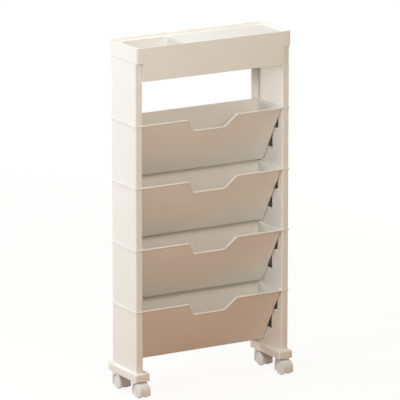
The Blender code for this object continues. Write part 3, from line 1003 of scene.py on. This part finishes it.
class RACK_OT_studio(bpy.types.Operator):
    """Plain pale floor, soft lamps and the camera"""

    bl_idname = "rack.studio"
    bl_label = "Studio"

    def lamp(self, name, place, size, power, tint):
        bpy.ops.object.light_add(type="AREA", location=place)
        lamp = bpy.context.object
        lamp.name = name
        lamp.rotation_euler = (LAMP_AIM - Vector(place)).to_track_quat("-Z", "Y").to_euler()
        lamp.data.shape = "DISK"
        lamp.data.size = size
        lamp.data.energy = power
        lamp.data.color = tint

    def floor(self, settings):
        bpy.ops.object.select_all(action="DESELECT")
        bpy.ops.mesh.primitive_circle_add(
            vertices=96,
            radius=settings.floor_radius,
            fill_type="NGON",
            location=(0, 0, -settings.floor_drop),
        )
        floor = bpy.context.object
        floor.name = "floor"
        bpy.ops.object.transform_apply()
        finish = Finish("rack_floor")
        seen = finish.node("ShaderNodeLightPath", {}, {}, "Is Camera Ray")
        shine = finish.node("ShaderNodeLightPath", {}, {}, "Is Glossy Ray")
        shown = finish.node("ShaderNodeMath", {"operation": "MAXIMUM"}, {0: seen, 1: shine})
        away = finish.node("ShaderNodeVectorMath", {"operation": "LENGTH"}, {0: finish.place()}, "Value")
        # Close to the rack the floor throws back a darker colour: painted shade of the rack on a warm
        # floor.
        shaded_bounce = finish.tint(finish.band(away, *BOUNCE_SHADE_BAND), settings.near_floor_shade, settings.floor_far)
        finish.set(base_color=finish.tint(shown, shaded_bounce, settings.floor), roughness=0.9)
        white = finish.node("ShaderNodeEmission", {}, {"Color": (1, 1, 1, 1), "Strength": 1.0})
        surface = Socket(finish, finish.shader.outputs[0])
        plain = shown * finish.band(away, *WHITE_BAND, settings.white, 1.0)
        mixed = finish.node("ShaderNodeMixShader", {}, {0: plain, 1: surface, 2: white})
        finish.feed(finish.tree.nodes["Material Output"].inputs["Surface"], mixed)
        floor.data.materials.append(finish.material)

    def world(self, settings):
        world = bpy.data.worlds.new("studio")
        bpy.context.scene.world = world
        world.use_nodes = True
        tree = world.node_tree
        light = tree.nodes["Background"]
        light.inputs["Color"].default_value = (*settings.ambient_tint, 1.0)
        light.inputs["Strength"].default_value = settings.ambient
        white = tree.nodes.new("ShaderNodeBackground")
        white.inputs["Color"].default_value = (1, 1, 1, 1)
        white.inputs["Strength"].default_value = 1.0
        path = tree.nodes.new("ShaderNodeLightPath")
        mix = tree.nodes.new("ShaderNodeMixShader")
        tree.links.new(path.outputs["Is Camera Ray"], mix.inputs[0])
        tree.links.new(light.outputs[0], mix.inputs[1])
        tree.links.new(white.outputs[0], mix.inputs[2])
        tree.links.new(mix.outputs[0], tree.nodes["World Output"].inputs["Surface"])

    def camera(self, settings):
        turn, tilt = settings.azimuth, settings.elevation
        back = Vector((sin(turn) * cos(tilt), -cos(turn) * cos(tilt), sin(tilt)))
        aim = Vector(settings.aim)
        bpy.ops.object.camera_add(location=aim + back * settings.distance)
        camera = bpy.context.object
        camera.rotation_euler = (-back).to_track_quat("-Z", "Y").to_euler()
        camera.data.sensor_width = 36
        camera.data.lens = settings.lens * 1000
        camera.data.clip_end = 200
        bpy.context.scene.camera = camera

    def execute(self, context):
        settings = context.scene.rack_studio
        self.floor(settings)
        self.world(settings)
        self.camera(settings)
        for name, (place, size, tint) in LAMPS.items():
            self.lamp(name, place, size, getattr(settings, name), tint)
        context.scene.view_settings.view_transform = "Standard"
        return {"FINISHED"}


class RACK_PT_panel(bpy.types.Panel):
    """The rack's pieces, in the order in which they are made"""

    bl_idname = "RACK_PT_panel"
    bl_label = "Book Rack"
    bl_space_type = "VIEW_3D"
    bl_region_type = "UI"
    bl_category = "Book Rack"

    def draw(self, context):
        for step in STEPS:
            self.layout.operator(step.bl_idname)


STEPS = (RACK_OT_columns, RACK_OT_pockets, RACK_OT_tray, RACK_OT_feet, RACK_OT_casters, RACK_OT_studio)
GROUPS = {
    "rack_column": ColumnSizes,
    "rack_pocket": PocketSizes,
    "rack_tray": TraySizes,
    "rack_tenon": TenonSizes,
    "rack_foot": FootSizes,
    "rack_caster": CasterSizes,
    "rack_colours": FinishColours,
    "rack_studio": StudioSettings,
}


def register():
    for group in (*GROUPS.values(), *STEPS, RACK_PT_panel):
        bpy.utils.register_class(group)
    for name, group in GROUPS.items():
        setattr(bpy.types.Scene, name, bpy.props.PointerProperty(type=group))


def unregister():
    for name in GROUPS:
        delattr(bpy.types.Scene, name)
    for group in (*GROUPS.values(), *STEPS, RACK_PT_panel):
        bpy.utils.unregister_class(group)


def main():
    for item in list(bpy.data.objects):
        if item.name in ("Cube", "Light", "Camera"):
            bpy.data.objects.remove(item)
    register()
    bpy.ops.rack.columns()
    bpy.ops.rack.pockets()
    bpy.ops.rack.tray()
    bpy.ops.rack.feet()
    bpy.ops.rack.casters()
    bpy.ops.rack.studio()


if __name__ == "__main__":
    main()
